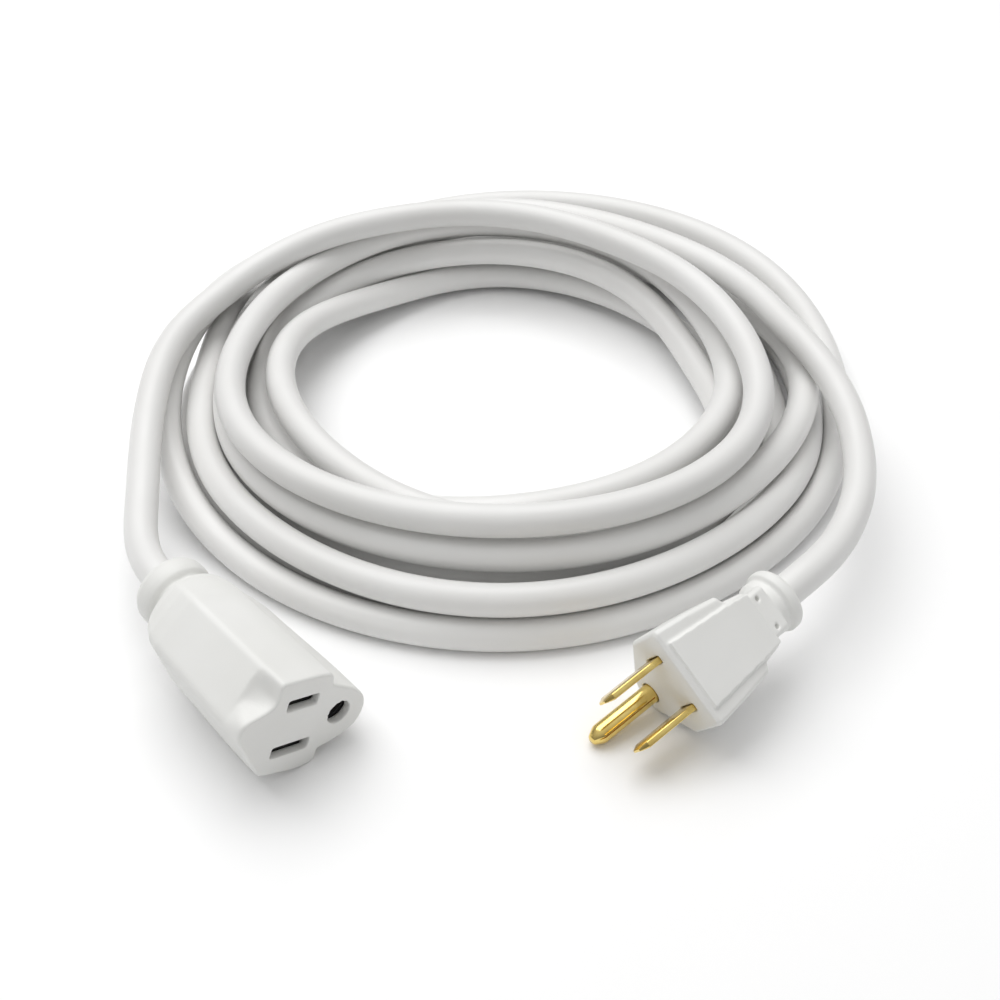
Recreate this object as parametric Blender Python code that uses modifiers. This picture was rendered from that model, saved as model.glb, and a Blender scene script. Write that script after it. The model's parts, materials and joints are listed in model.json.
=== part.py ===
"""Extension cord: a coiled three-conductor cord with a moulded plug and a moulded connector.

Frame: metres, +Z up, origin on the resting plane at the middle of the footprint, front toward -Y.
"""
import math

import bpy
import bmesh
import numpy as np
from mathutils import Matrix, Vector

MM = 0.001

# Cord cross-section, mm.
CORD_R = 4.15
JACKET_WALL = 0.8
CONDUCTOR_R = 1.25
CONDUCTOR_PITCH_R = 1.62
STRAND_R = 0.75

# Coil lay, mm: one row per turn, (radius, height) of the cord's centre at the eight bearings
# left, back left, back, back right, right, front right, front, front left.
LAY = [
    [(89, 24.5), (65, 29), (57, 30), (54, 30), (65, 30), (90, 26), (92, 25.5), (88, 25)],
    [(70, 24), (66, 20), (64, 21), (60, 21), (66, 17), (77, 19), (80, 18), (74, 12)],
    [(71, 13), (66, 17), (60, 18), (57, 18), (61, 9), (82, 11), (83, 17), (69, 20)],
    [(61, 18), (57, 10), (63, 6), (59, 8), (70, 5), (86, 7), (92, 9), (86, 8)],
    [(78, 5), (75, 5), (73, 10), (76, 12), (89, 14), (94, 17), (94, 17.5), (90, 18)],
    [(77, 14), (84, 12), (82, 12), (83, 5), (80, 4.5), (93, 4.5), (98, 4.2), (94, 4.2)],
    [(89, 4.2), (84, 4.2), (89, 4.5), (92, 4.5), (90, 4.5), (98, 9), (105, 11), (93, 11)],
    [(80, 8), (92, 4.5), (104, 9), (107, 10), (99, 7), (101, 4.2), (106.5, 4.2), (101, 4.2)],
    [(92, 14), (77, 20), (74, 22), (72, 24), (83, 25.5)],
]
STATIONS = 40          # settled points per turn
RING_EVERY = 2         # settled points between two cord rings
CLEARANCE = 0.9        # air kept between turns

# Free leads, mm: where the cord runs between the coil and each end.
CONNECTOR_LEAD = [(-86, -88.5, 17), (-89, -72, 18.5), (-91.5, -54, 20), (-93, -36, 22), (-92.5, -16, 24)]
PLUG_LEAD = [
    (86.5, -9, 25.5), (91.5, -24, 24.5), (94.5, -40, 23), (94.5, -56, 21.5), (91, -74, 20.5), (84, -89, 19.5)]
RING_STEP = 5.5        # distance between cord rings along a lead
HINGE_GAP = 2.6        # air where the cord is parted at a bend

# Poses of the two ends: face centre (mm), heading, dip and roll (degrees).
CONNECTOR_POSE = ((-42.3, -145.4, 14.9), -47.9, -3.8, -20.1)
PLUG_POSE = ((39.4, -133.1, 14.5), -140.0, -9.2, -127.3)

# NEMA 5-15 pattern, mm.
BLADE_Y = 6.35
GROUND_Z = 11.9
BLADE_T = 1.5
BLADE_W = 6.35
BLADE_LEN = 15.9
PIN_R = 2.38
PIN_LEN = 18.6

PLUG_TAIL_X = -37.0
CONNECTOR_TAIL_X = -54.5
FIT = 0.3              # air between parts that touch
WELD = 5e-6            # metres: points closer than this are one point


# ---------------------------------------------------------------- scene helpers
def clear_scene():
    for ob in list(bpy.data.objects):
        bpy.data.objects.remove(ob)


def new_collection(name, hidden=False):
    col = bpy.data.collections.new(name)
    bpy.context.scene.collection.children.link(col)
    col.hide_render = hidden
    return col


def material(name, colour, roughness, metallic=0.0):
    mat = bpy.data.materials.new(name)
    mat.use_nodes = True
    bsdf = mat.node_tree.nodes["Principled BSDF"]
    bsdf.inputs["Base Color"].default_value = (*colour, 1.0)
    bsdf.inputs["Roughness"].default_value = roughness
    bsdf.inputs["Metallic"].default_value = metallic
    mat.diffuse_color = (*colour, 1.0)
    return mat


def add_object(name, bm, mat, col, smooth=0.0):
    """Write a bmesh (mm) to a named object in metres."""
    bmesh.ops.recalc_face_normals(bm, faces=bm.faces)
    bmesh.ops.scale(bm, vec=(MM, MM, MM), verts=bm.verts)
    me = bpy.data.meshes.new(name)
    bm.to_mesh(me)
    bm.free()
    ob = bpy.data.objects.new(name, me)
    col.objects.link(ob)
    if mat is not None:
        me.materials.append(mat)
    if smooth:
        me.shade_smooth()
        me.set_sharp_from_angle(angle=math.radians(smooth))
    return ob


def bmesh_box(x0, x1, y0, y1, z0, z1):
    bm = bmesh.new()
    bmesh.ops.create_cube(bm, size=1.0)
    bmesh.ops.scale(bm, vec=(x1 - x0, y1 - y0, z1 - z0), verts=bm.verts)
    bmesh.ops.translate(bm, vec=((x0 + x1) / 2, (y0 + y1) / 2, (z0 + z1) / 2), verts=bm.verts)
    return bm


def bmesh_rod(x0, x1, y, z, r0, r1=None, sides=16):
    """Cylinder or cone along X; r0 at x0, r1 at x1."""
    bm = bmesh.new()
    turn = Matrix.Rotation(math.pi / 2, 4, "Y")
    bmesh.ops.create_cone(
        bm, cap_ends=True, cap_tris=False, segments=sides,
        radius1=r0, radius2=r0 if r1 is None else r1, depth=x1 - x0, matrix=turn)
    bmesh.ops.translate(bm, vec=((x0 + x1) / 2, y, z), verts=bm.verts)
    return bm


def cutter(name, bm, col):
    ob = add_object(name, bm, None, col)
    ob.display_type = "WIRE"
    return ob


def boolean(ob, other, operation):
    """Apply one exact boolean and remove the tool object."""
    mod = ob.modifiers.new("bool", "BOOLEAN")
    mod.operation = operation
    mod.solver = "EXACT"
    mod.object = other
    bake(ob)
    bm = bmesh.new()
    bm.from_mesh(ob.data)
    bmesh.ops.remove_doubles(bm, verts=bm.verts, dist=WELD)
    bmesh.ops.dissolve_degenerate(bm, edges=bm.edges, dist=WELD)
    bm.to_mesh(ob.data)
    bm.free()
    bpy.data.objects.remove(other)


def bake(ob):
    deps = bpy.context.evaluated_depsgraph_get()
    me = bpy.data.meshes.new_from_object(ob.evaluated_get(deps))
    ob.modifiers.clear()
    ob.data = me


def place(ob, pose):
    ob.matrix_world = pose


def end_pose(face, heading, dip, roll):
    """Local X out of the face, local Z toward the ground pin."""
    yaw = math.radians(heading)
    pitch = math.radians(dip)
    turn = math.radians(roll)
    x = Vector((math.cos(pitch) * math.cos(yaw), math.cos(pitch) * math.sin(yaw), math.sin(pitch)))
    left = Vector((-math.sin(yaw), math.cos(yaw), 0.0))
    up = x.cross(left)
    z = math.cos(turn) * left + math.sin(turn) * up
    y = z.cross(x)
    mat = Matrix((x, y, z)).transposed().to_4x4()
    mat.translation = Vector(face) * MM
    return mat


# ---------------------------------------------------------------- cord centre lines
def between(table, step):
    """Rows of a table with step - 1 more between each two, on a smooth curve through them."""
    p = np.vstack([2 * table[0] - table[1], table, 2 * table[-1] - table[-2]])
    made = []
    for i in range(1, len(p) - 2):
        for t in np.arange(step) / step:
            b = (p[i + 1] - p[i - 1]) * t
            c = (2 * p[i - 1] - 5 * p[i] + 4 * p[i + 1] - p[i + 2]) * t * t
            d = (3 * p[i] - p[i - 1] - 3 * p[i + 1] + p[i + 2]) * t ** 3
            made.append(0.5 * (2 * p[i] + b + c + d))
    return np.array(made + [p[-2]])


def settle_coil():
    """Centre line of the coil in mm: the lay table, then turns pushed clear of each other."""
    rz = between(np.array([knot for turn in LAY for knot in turn], float), STATIONS // 8)
    count = len(rz)
    laid = rz.copy()
    apart = 2 * CORD_R + CLEARANCE
    for sweep in range(460):
        push = np.zeros_like(rz)
        for back in range(STATIONS, count, STATIONS):
            inner = rz[:count - back]
            outer = rz[back:]
            gap = outer - inner
            dist = np.maximum(np.linalg.norm(gap, axis=1, keepdims=True), 1e-6)
            move = gap / dist * np.maximum(apart - dist, 0) * 0.5
            push[:count - back] -= move
            push[back:] += move
        rz += 0.7 * push
        if sweep < 340:
            drift = rz - laid
            rz[1:-1] += 0.15 * (drift[:-2] + drift[2:] - 2 * drift[1:-1])
            rz -= 0.01 * (rz - laid)
        rz[:, 1] = np.maximum(rz[:, 1], CORD_R)
    bearing = math.pi - 2 * math.pi * np.arange(count) / STATIONS
    return np.stack([rz[:, 0] * np.cos(bearing), rz[:, 0] * np.sin(bearing), rz[:, 1]], 1)


def spline(knots, spacing):
    """Smooth curve through the knots, resampled evenly."""
    p = np.array([tuple(k) for k in knots], float)
    p = np.vstack([2 * p[0] - p[1], p, 2 * p[-1] - p[-2]])
    fine = []
    for i in range(1, len(p) - 2):
        for t in np.linspace(0, 1, 16, endpoint=False):
            a = 2 * p[i]
            b = (p[i + 1] - p[i - 1]) * t
            c = (2 * p[i - 1] - 5 * p[i] + 4 * p[i + 1] - p[i + 2]) * t * t
            d = (3 * p[i] - p[i - 1] - 3 * p[i + 1] + p[i + 2]) * t ** 3
            fine.append(0.5 * (a + b + c + d))
    fine.append(p[-2])
    return resample(np.array(fine), spacing)


def resample(line, spacing):
    run = np.concatenate([[0], np.cumsum(np.linalg.norm(np.diff(line, axis=0), axis=1))])
    count = max(2, int(round(run[-1] / spacing)) + 1)
    at = np.linspace(0, run[-1], count)
    return np.stack([np.interp(at, run, line[:, k]) for k in range(3)], 1)


def trim(line, head, tail):
    """Shorten a polyline by an arc length at each end."""
    run = np.concatenate([[0], np.cumsum(np.linalg.norm(np.diff(line, axis=0), axis=1))])
    inside = line[(run > head + 1.0) & (run < run[-1] - tail - 1.0)]
    first = [np.interp(head, run, line[:, k]) for k in range(3)]
    last = [np.interp(run[-1] - tail, run, line[:, k]) for k in range(3)]
    return np.vstack([first, inside, last])


def frames(line):
    """Tangent, side and upper directions at each point, upper kept near +Z."""
    tangent = np.gradient(line, axis=0)
    tangent /= np.linalg.norm(tangent, axis=1, keepdims=True)
    side = np.cross(tangent, (0.0, 0.0, 1.0))
    side /= np.linalg.norm(side, axis=1, keepdims=True)
    return tangent, side, np.cross(side, tangent)


def conductor_line(line, k, hand=1.0):
    """Centre line of conductor k (0 line, 1 neutral, 2 ground) inside the jacket.

    hand is -1 where the line is followed back toward the connector.
    """
    angle = math.radians(90 + 120 * k)
    _, side, upper = frames(line)
    return line + CONDUCTOR_PITCH_R * (hand * math.cos(angle) * side + math.sin(angle) * upper)


def tube(name, line, radius, mat, col, resolution=1, wall=0.0, smooth=60):
    """Round wire along a polyline (mm); with a wall it is a hollow open-ended tube."""
    curve = bpy.data.curves.new(name, "CURVE")
    curve.dimensions = "3D"
    curve.bevel_depth = radius * MM
    curve.bevel_resolution = resolution
    curve.use_fill_caps = wall == 0.0
    run = curve.splines.new("POLY")
    run.points.add(len(line) - 1)
    for point, place_mm in zip(run.points, line):
        point.co = (*(np.array(place_mm) * MM), 1.0)
    source = bpy.data.objects.new(name, curve)
    col.objects.link(source)
    deps = bpy.context.evaluated_depsgraph_get()
    me = bpy.data.meshes.new_from_object(source.evaluated_get(deps))
    bpy.data.objects.remove(source)
    bm = bmesh.new()
    bm.from_mesh(me)
    bmesh.ops.remove_doubles(bm, verts=bm.verts, dist=1e-6)
    if wall == 0.0:
        bmesh.ops.triangulate(bm, faces=bm.faces)
    bmesh.ops.scale(bm, vec=(1 / MM, 1 / MM, 1 / MM), verts=bm.verts)
    ob = add_object(name, bm, mat, col, smooth)
    if wall:
        mod = ob.modifiers.new("wall", "SOLIDIFY")
        mod.thickness = wall * MM
        mod.offset = -1.0
        mod.use_even_offset = True
        bake(ob)
    return ob


def cord_run(prefix, line, mats, col):
    """Jacket and three conductors over one stretch of cord."""
    made = [tube(prefix + "_jacket", line, CORD_R, mats["jacket"], col, 2, JACKET_WALL)]
    inner = trim(line, 0.2, 0.2)
    for k, role in enumerate(("line", "neutral", "ground")):
        made.append(tube(f"{prefix}_conductor_{role}", conductor_line(inner, k), CONDUCTOR_R,
                         mats["wire_" + role], col))
    return made


# ---------------------------------------------------------------- shared end details
def round_corners(points, radii, steps=3):
    """Polygon with each corner replaced by an arc-like run of points."""
    made = []
    count = len(points)
    for i in range(count):
        here = np.array(points[i], float)
        back = np.array(points[i - 1], float) - here
        ahead = np.array(points[(i + 1) % count], float) - here
        reach = min(radii[i], 0.48 * np.linalg.norm(back), 0.48 * np.linalg.norm(ahead))
        a = here + back / np.linalg.norm(back) * reach
        b = here + ahead / np.linalg.norm(ahead) * reach
        for t in np.linspace(0, 1, steps):
            made.append(tuple((1 - t) ** 2 * a + 2 * t * (1 - t) * here + t * t * b))
    return made


def loft(sections):
    """Closed body through (x, [(y, z), ...]) sections of equal point count."""
    bm = bmesh.new()
    rings = [[bm.verts.new((x, y, z)) for y, z in points] for x, points in sections]
    count = len(rings[0])
    for a, b in zip(rings, rings[1:]):
        for i in range(count):
            j = (i + 1) % count
            bm.faces.new((a[i], a[j], b[j], b[i]))
    bm.faces.new(rings[0])
    bm.faces.new(reversed(rings[-1]))
    bmesh.ops.triangulate(bm, faces=bm.faces)
    return bm


def round_section(radius, count, start, z):
    step = 2 * math.pi / count
    turns = [start + i * step for i in range(count)]
    return [(radius * math.cos(a), z + radius * math.sin(a)) for a in turns]


def carve(ob, pieces, tools):
    for index, bm in enumerate(pieces):
        boolean(ob, cutter(f"{ob.name}_cut{index}", bm, tools), "DIFFERENCE")


def join_pieces(ob, pieces, tools):
    for index, bm in enumerate(pieces):
        boolean(ob, cutter(f"{ob.name}_add{index}", bm, tools), "UNION")


def contact_places():
    """(role, y, z) of the three poles."""
    return (("line", BLADE_Y, 0.0), ("neutral", -BLADE_Y, 0.0), ("ground", 0.0, GROUND_Z))


def fan_line(start, end):
    """Path of one conductor from the jacket's mouth to its crimp, local mm."""
    line = []
    for t in np.linspace(0, 1, 9):
        ease = t * t * (3 - 2 * t)
        line.append((start[0] + (end[0] - start[0]) * t,
                     start[1] + (end[1] - start[1]) * ease,
                     start[2] + (end[2] - start[2]) * ease))
    return np.array(line)


def to_world(line, pose):
    return np.array([tuple((pose @ (Vector(p) * MM)) / MM) for p in line])


def end_conductors(prefix, lead, hand, pose, crimp_x, mats, col, places):
    """Conductors from the parted end of the lead, through the jacket, out to the crimps."""
    back = pose.inverted()
    for k, (role, y, z) in enumerate(places):
        along = conductor_line(lead, k, hand)
        start = (back @ (Vector(along[-1]) * MM)) / MM
        fan = to_world(fan_line(start, (crimp_x, y, z)), pose)
        line = np.vstack([trim(along, 0.2, 0.0)[:-1], fan])
        tube(f"{prefix}_conductor_{role}", line, CONDUCTOR_R, mats["wire_" + role], col)


def bare_strand(name, x0, x1, y, z, mats, col, pose):
    ob = add_object(name, bmesh_rod(x0, x1, y, z, STRAND_R, sides=8), mats["copper"], col, 60)
    place(ob, pose)
    return ob


# ---------------------------------------------------------------- plug
PLUG_AXIS_Z = 2.0
PLUG_JACKET_X = -30.0
PLUG_CRIMP_X = (-15.6, -11.0)
PLUG_COLLAR = [
    (-36.6, 6.2), (-36.3, 7.4), (-35.4, 7.9), (-33.7, 7.9), (-33.2, 7.3), (-32.9, 6.8),
    (-32.3, 7.0), (-30.4, 7.0), (-29.2, 6.3)]


def plug_section(w, z0, shoulder, z1, r):
    """D outline: broad flat side at z0, rounded round the ground pin."""
    points = [(-w + 0.8, z0), (w - 0.8, z0), (w, z0 + 0.8), (w, shoulder)]
    for step in range(9):
        a = math.radians(25 + 130 * step / 8)
        points.append((r * math.cos(a), z1 - r + r * math.sin(a)))
    return points + [(-w, shoulder), (-w, z0 + 0.8)]


def plug_shell():
    return loft([
        (0.0, plug_section(11.9, -7.8, 4.2, 16.2, 6.4)),
        (-0.7, plug_section(12.5, -8.4, 4.5, 16.7, 6.9)),
        (-9.0, plug_section(11.6, -8.4, 4.5, 16.4, 6.9)),
        (-17.6, plug_section(10.3, -8.3, 4.4, 15.4, 6.6)),
        (-18.6, plug_section(8.3, -8.2, 4.2, 14.4, 6.4)),
        (-23.6, plug_section(7.3, -8.0, 4.0, 12.0, 6.0)),
        (-24.8, plug_section(6.0, -6.9, 3.8, 10.6, 5.6)),
        (-30.4, plug_section(5.8, -4.9, 3.4, 8.4, 5.2)),
    ])


def plug_hollow():
    """Room behind the bridge where the conductors fan out to the crimps."""
    return loft([
        (-28.5, plug_section(4.6, -3.0, 2.4, 6.9, 4.4)),
        (-22.0, plug_section(6.2, -3.5, 2.9, 11.0, 4.5)),
        (-18.8, plug_section(7.3, -3.6, 2.9, 13.0, 4.5)),
        (-17.2, plug_section(8.4, -3.6, 3.0, 14.0, 4.5)),
        (-8.9, plug_section(8.7, -3.6, 3.0, 14.2, 4.5)),
    ])


def plug_panel():
    """Raised plain panel on the broad side, narrowing toward the cord."""
    def outline(x, half):
        return (x, [(-half, -9.3), (half, -9.3), (half + 0.5, -7.0), (-half - 0.5, -7.0)])
    return loft([outline(-1.4, 8.5), outline(-18.0, 7.2), outline(-23.9, 6.5)])


def collar(profile, axis_z, sides=24):
    """Turned ring from (x, radius) pairs, tail first."""
    return loft([(x, round_section(r, sides, 0.0, axis_z)) for x, r in profile])


def build_plug(lead, mats, col, tools):
    """lead: world path (mm) of the short cord end from its bend to the plug's tail."""
    pose = end_pose(*PLUG_POSE)
    parts = []
    shell = add_object("plug_overmould", plug_shell(), mats["overmould"], col, 35)
    join_pieces(shell, [plug_panel(), collar(PLUG_COLLAR, PLUG_AXIS_Z)], tools)
    cuts = [
        bmesh_box(-9.3, -2.3, -9.5, 9.5, -4.1, 4.3),
        bmesh_box(-9.3, -2.3, -3.6, 3.6, 3.9, 10.9),
        bmesh_rod(-9.3, -2.3, 0, 11.4, 3.9, sides=24),
        bmesh_rod(-40.0, -28.0, 0, PLUG_AXIS_Z, CORD_R + FIT, sides=24),
        plug_hollow(),
    ]
    for role, y, z in contact_places():
        if role == "ground":
            cuts.append(bmesh_rod(-3.0, 2.0, y, z, PIN_R + FIT, sides=24))
        else:
            half = BLADE_T / 2 + FIT
            cuts.append(bmesh_box(-3.0, 2.0, y - half, y + half, -BLADE_W / 2 - FIT, BLADE_W / 2 + FIT))
    for y in (-3.8, 3.8):
        vent = bmesh_rod(-0.7, 0.7, 0, 0, 0.5, sides=10)
        bmesh.ops.rotate(vent, verts=vent.verts, cent=(0, 0, 0), matrix=Matrix.Rotation(math.pi / 2, 3, "Y"))
        bmesh.ops.translate(vent, verts=vent.verts, vec=(-27.0, y, -6.4))
        cuts.append(vent)
    carve(shell, cuts, tools)
    end_conductors("plug", lead, 1.0, pose, PLUG_CRIMP_X[0] - 0.6, mats, col, contact_places())
    parts.append(shell)
    parts.append(plug_bridge(mats, col, tools))
    for role, y, z in contact_places():
        if role == "ground":
            parts.append(ground_pin(y, z, mats, col, tools))
        else:
            parts.append(blade("plug_blade_" + role, y, mats, col, tools))
        bare_strand("plug_strand_" + role, PLUG_CRIMP_X[0] - 0.3, PLUG_CRIMP_X[0] + 3.6,
                    y, z, mats, col, pose)
    for ob in parts:
        place(ob, pose)
    tube("plug_cord_end_jacket", lead, CORD_R, mats["jacket"], col, 2, JACKET_WALL)


def plug_bridge(mats, col, tools):
    """Hard carrier that holds the three prongs at their spacing."""
    ob = add_object("plug_bridge", bmesh_box(-9.0, -2.6, -9.2, 9.2, -3.8, 4.0), mats["carrier"], col)
    join_pieces(ob, [
        bmesh_box(-9.0, -2.6, -3.3, 3.3, 3.5, 10.9),
        bmesh_rod(-9.0, -2.6, 0, 11.4, 3.6, sides=24),
    ], tools)
    cuts = [bmesh_rod(-10.0, -2.0, 0, GROUND_Z, PIN_R + FIT, sides=24)]
    for y in (-BLADE_Y, BLADE_Y):
        half = BLADE_T / 2 + FIT
        cuts.append(bmesh_box(-10.0, -2.0, y - half, y + half, -BLADE_W / 2 - FIT, BLADE_W / 2 + FIT))
    carve(ob, cuts, tools)
    return ob


def crimp(ob, y, z, x_back, x_front, tools):
    """Crimp barrel with a blind bore for the bare strand."""
    join_pieces(ob, [bmesh_rod(x_back, x_front, y, z, 1.6, sides=12)], tools)
    carve(ob, [bmesh_rod(x_back - 1.0, x_back + 4.0, y, z, STRAND_R + 0.25, sides=12)], tools)


def blade(name, y, mats, col, tools):
    """Flat prong with a chamfered tip, running back through the bridge to its crimp."""
    half_t = BLADE_T / 2
    w = BLADE_W / 2
    bm = loft([
        (BLADE_LEN, [(y - 0.4, -w + 1.3), (y + 0.4, -w + 1.3), (y + 0.4, w - 1.3), (y - 0.4, w - 1.3)]),
        (BLADE_LEN - 1.8, [(y - half_t, -w), (y + half_t, -w), (y + half_t, w), (y - half_t, w)]),
        (-9.2, [(y - half_t, -w), (y + half_t, -w), (y + half_t, w), (y - half_t, w)]),
        (-10.2, [(y - half_t, -1.0), (y + half_t, -1.0), (y + half_t, 1.0), (y - half_t, 1.0)]),
        (-11.4, [(y - half_t, -1.0), (y + half_t, -1.0), (y + half_t, 1.0), (y - half_t, 1.0)]),
    ])
    ob = add_object(name, bm, mats["brass"], col, 30)
    crimp(ob, y, 0.0, PLUG_CRIMP_X[0], PLUG_CRIMP_X[1], tools)
    return ob


def ground_pin(y, z, mats, col, tools):
    """Rolled ground pin: domed tip and a seam along its underside."""
    sides = 20
    ob = add_object("plug_ground_pin", loft([
        (PIN_LEN, round_section(0.9, sides, 0.0, z)),
        (PIN_LEN - 0.7, round_section(1.7, sides, 0.0, z)),
        (PIN_LEN - 2.0, round_section(PIN_R, sides, 0.0, z)),
        (-0.3, round_section(PIN_R, sides, 0.0, z)),
        (-0.6, round_section(PIN_R - 0.3, sides, 0.0, z)),
        (-9.2, round_section(PIN_R - 0.3, sides, 0.0, z)),
        (-9.9, round_section(1.3, sides, 0.0, z)),
        (-11.4, round_section(1.3, sides, 0.0, z)),
    ]), mats["brass"], col, 30)
    carve(ob, [bmesh_box(0.6, PIN_LEN + 1, y + 1.6, y + 3.0, z - 0.25, z + 0.25)], tools)
    crimp(ob, y, z, PLUG_CRIMP_X[0], PLUG_CRIMP_X[1], tools)
    return ob


# ---------------------------------------------------------------- connector
CONNECTOR_AXIS_Z = 2.0
CONNECTOR_JACKET_X = -49.0
CONNECTOR_CRIMP_X = (-33.6, -29.0)
CONTACT_FRONT_X = -5.0
CONTACT_BACK_X = -24.0
CONNECTOR_COLLAR = [
    (-54.2, 7.2), (-53.8, 8.3), (-52.4, 9.0), (-49.8, 9.1), (-48.4, 8.8), (-47.7, 8.1), (-47.4, 7.4)]


def connector_places():
    """The socket is the plug's mirror image: the line side lies at -Y."""
    return (("line", -BLADE_Y, 0.0), ("neutral", BLADE_Y, 0.0), ("ground", 0.0, GROUND_Z))


FACE_OUTLINE = [
    (-13.1, -7.4), (-12.9, 3.0), (-12.0, 7.2), (-9.0, 7.6), (-5.6, 15.6), (-1.6, 19.8),
    (4.6, 19.6), (8.0, 14.4), (9.4, 8.6), (12.9, 8.9), (13.8, 4.0), (12.2, -6.9),
    (-0.6, -15.9), (-4.6, -15.4), (-6.6, -9.0), (-8.2, -7.4)]
FACE_ROUNDING = [1.2, 3.0, 2.0, 0.6, 4.0, 5.0, 4.0, 4.0, 0.6, 1.8, 4.0, 0.9, 3.0, 2.5, 2.0, 1.2]
FLUTE = {13: (0.0, (-4.4, -13.3)), 14: (1.0, (-7.4, -11.3)), 15: (1.5, (-10.2, -9.4))}


def connector_outline(x):
    """Outline at x: lobes at the face, the flute filled to a flat behind it, round at the tail."""
    points = []
    for i, (y, z) in enumerate(FACE_OUTLINE):
        if i in FLUTE:
            start, (fy, fz) = FLUTE[i]
            t = np.clip((-x - start) / 6.0, 0, 1) ** 2
            y, z = y + (fy - y) * t, z + (fz - z) * t
        points.append((y, z))
    return round_corners(points, FACE_ROUNDING)


def connector_section(x, toward_round, radius, scale=1.0):
    made = []
    for y, z in connector_outline(x):
        a = math.atan2(z - CONNECTOR_AXIS_Z, y)
        y1, z1 = radius * math.cos(a), CONNECTOR_AXIS_Z + radius * math.sin(a)
        y, z = y * scale, z * scale
        made.append((y + (y1 - y) * toward_round, z + (z1 - z) * toward_round))
    return (x, made)


def connector_shell():
    made = [connector_section(x, 0.0, 10.0, k) for x, k in (
        (0.0, 0.975), (-0.5, 1.0), (-3, 1.0), (-4.5, 1.0), (-6, 1.0), (-7.5, 1.0),
        (-16, 0.985), (-26, 0.955))]
    made += [connector_section(x, t, r, 0.955) for x, t, r in (
        (-34.0, 0.04, 10.0), (-38.0, 0.14, 9.8), (-42.0, 0.36, 9.4), (-44.6, 0.6, 9.0), (-46.4, 1.0, 7.6),
        (-48.5, 1.0, 7.6))]
    return loft(made)


def connector_hollow():
    """Room behind the insert where the conductors fan out to the crimps."""
    return loft([
        connector_section(-47.0, 1.0, 5.2),
        connector_section(-44.5, 1.0, 6.2),
        connector_section(-42.0, 0.8, 7.4, 0.72),
        connector_section(-38.0, 0.2, 7.5, 0.74),
        connector_section(-34.0, 0.0, 7.0, 0.76),
        connector_section(-25.0, 0.0, 7.0, 0.78),
    ])


def build_connector(lead, mats, col, tools):
    pose = end_pose(*CONNECTOR_POSE)
    parts = []
    shell = add_object("connector_overmould", connector_shell(), mats["overmould"], col, 35)
    join_pieces(shell, [collar(CONNECTOR_COLLAR, CONNECTOR_AXIS_Z)], tools)
    cuts = [
        bmesh_box(-25.5, -2.2, -10.5, 10.5, -5.3, 5.3),
        bmesh_box(-25.5, -2.2, -4.3, 4.3, 5.0, 11.0),
        bmesh_rod(-25.5, -2.2, 0, GROUND_Z, 4.7, sides=24),
        bmesh_rod(-64.0, -46.5, 0, CONNECTOR_AXIS_Z, CORD_R + FIT, sides=24),
        connector_hollow(),
    ]
    for role, y, z in connector_places():
        cuts.append(mouth(role, y, z, 3.0, -3.0, 2.0))
    carve(shell, cuts, tools)
    end_conductors("connector", lead, -1.0, pose, CONNECTOR_CRIMP_X[0] - 0.6, mats, col, connector_places())
    parts.append(shell)
    parts.append(connector_insert(mats, col, tools))
    for role, y, z in connector_places():
        parts.append(contact(role, y, z, mats, col, tools))
        bare_strand("connector_strand_" + role, CONNECTOR_CRIMP_X[0] - 0.3, CONNECTOR_CRIMP_X[0] + 3.6,
                    y, z, mats, col, pose)
    for ob in parts:
        place(ob, pose)
    tube("connector_cord_end_jacket", lead, CORD_R, mats["jacket"], col, 2, JACKET_WALL)


def mouth(role, y, z, thick, x0, x1):
    """Opening for one prong: a slot for a blade, a round hole for the pin."""
    if role == "ground":
        return bmesh_rod(x0, x1, y, z, thick, sides=24)
    half = 5.2 if role == "neutral" else 4.2
    return bmesh_box(x0, x1, y - thick / 2, y + thick / 2, z - half, z + half)


def connector_insert(mats, col, tools):
    """Hard carrier that holds the three contacts behind the face."""
    ob = add_object("connector_insert", bmesh_box(-25.2, -2.5, -10.2, 10.2, -5.0, 5.0), mats["carrier"], col)
    join_pieces(ob, [
        bmesh_box(-25.2, -2.5, -4.0, 4.0, 4.5, 11.0),
        bmesh_rod(-25.2, -2.5, 0, GROUND_Z, 4.4, sides=24),
    ], tools)
    cuts = []
    for role, y, z in connector_places():
        if role == "ground":
            cuts.append(bmesh_rod(-26.0, -4.2, y, z, 3.7, sides=24))
            cuts.append(bmesh_rod(-5.0, -2.0, y, z, 2.7, sides=24))
        else:
            half = 4.2 if role == "neutral" else 3.5
            cuts.append(bmesh_box(-26.0, -4.2, y - 2.2, y + 2.2, -half, half))
            cuts.append(bmesh_box(-5.0, -2.0, y - 1.1, y + 1.1, -half, half))
    carve(ob, cuts, tools)
    return ob


def contact(role, y, z, mats, col, tools):
    """Brass contact: a pair of leaves for a blade, a sleeve for the pin, each with a crimp."""
    name = "connector_contact_" + role
    if role == "ground":
        sleeve = bmesh_rod(CONTACT_BACK_X - 0.6, CONTACT_FRONT_X, y, z, 3.3, sides=24)
        ob = add_object(name, sleeve, mats["brass"], col, 30)
        carve(ob, [bmesh_rod(CONTACT_BACK_X, 0.0, y, z, 2.65, sides=24)], tools)
    else:
        half = 3.8 if role == "neutral" else 3.1
        ob = add_object(name, bmesh_box(CONTACT_BACK_X - 0.6, CONTACT_FRONT_X, y - 1.8, y + 1.8, -half, half),
                        mats["brass"], col)
        carve(ob, [bmesh_box(CONTACT_BACK_X, 0.0, y - 1.15, y + 1.15, -9.0, 9.0)], tools)
    crimp(ob, y, z, CONNECTOR_CRIMP_X[0], CONTACT_BACK_X - 0.3, tools)
    return ob


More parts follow.
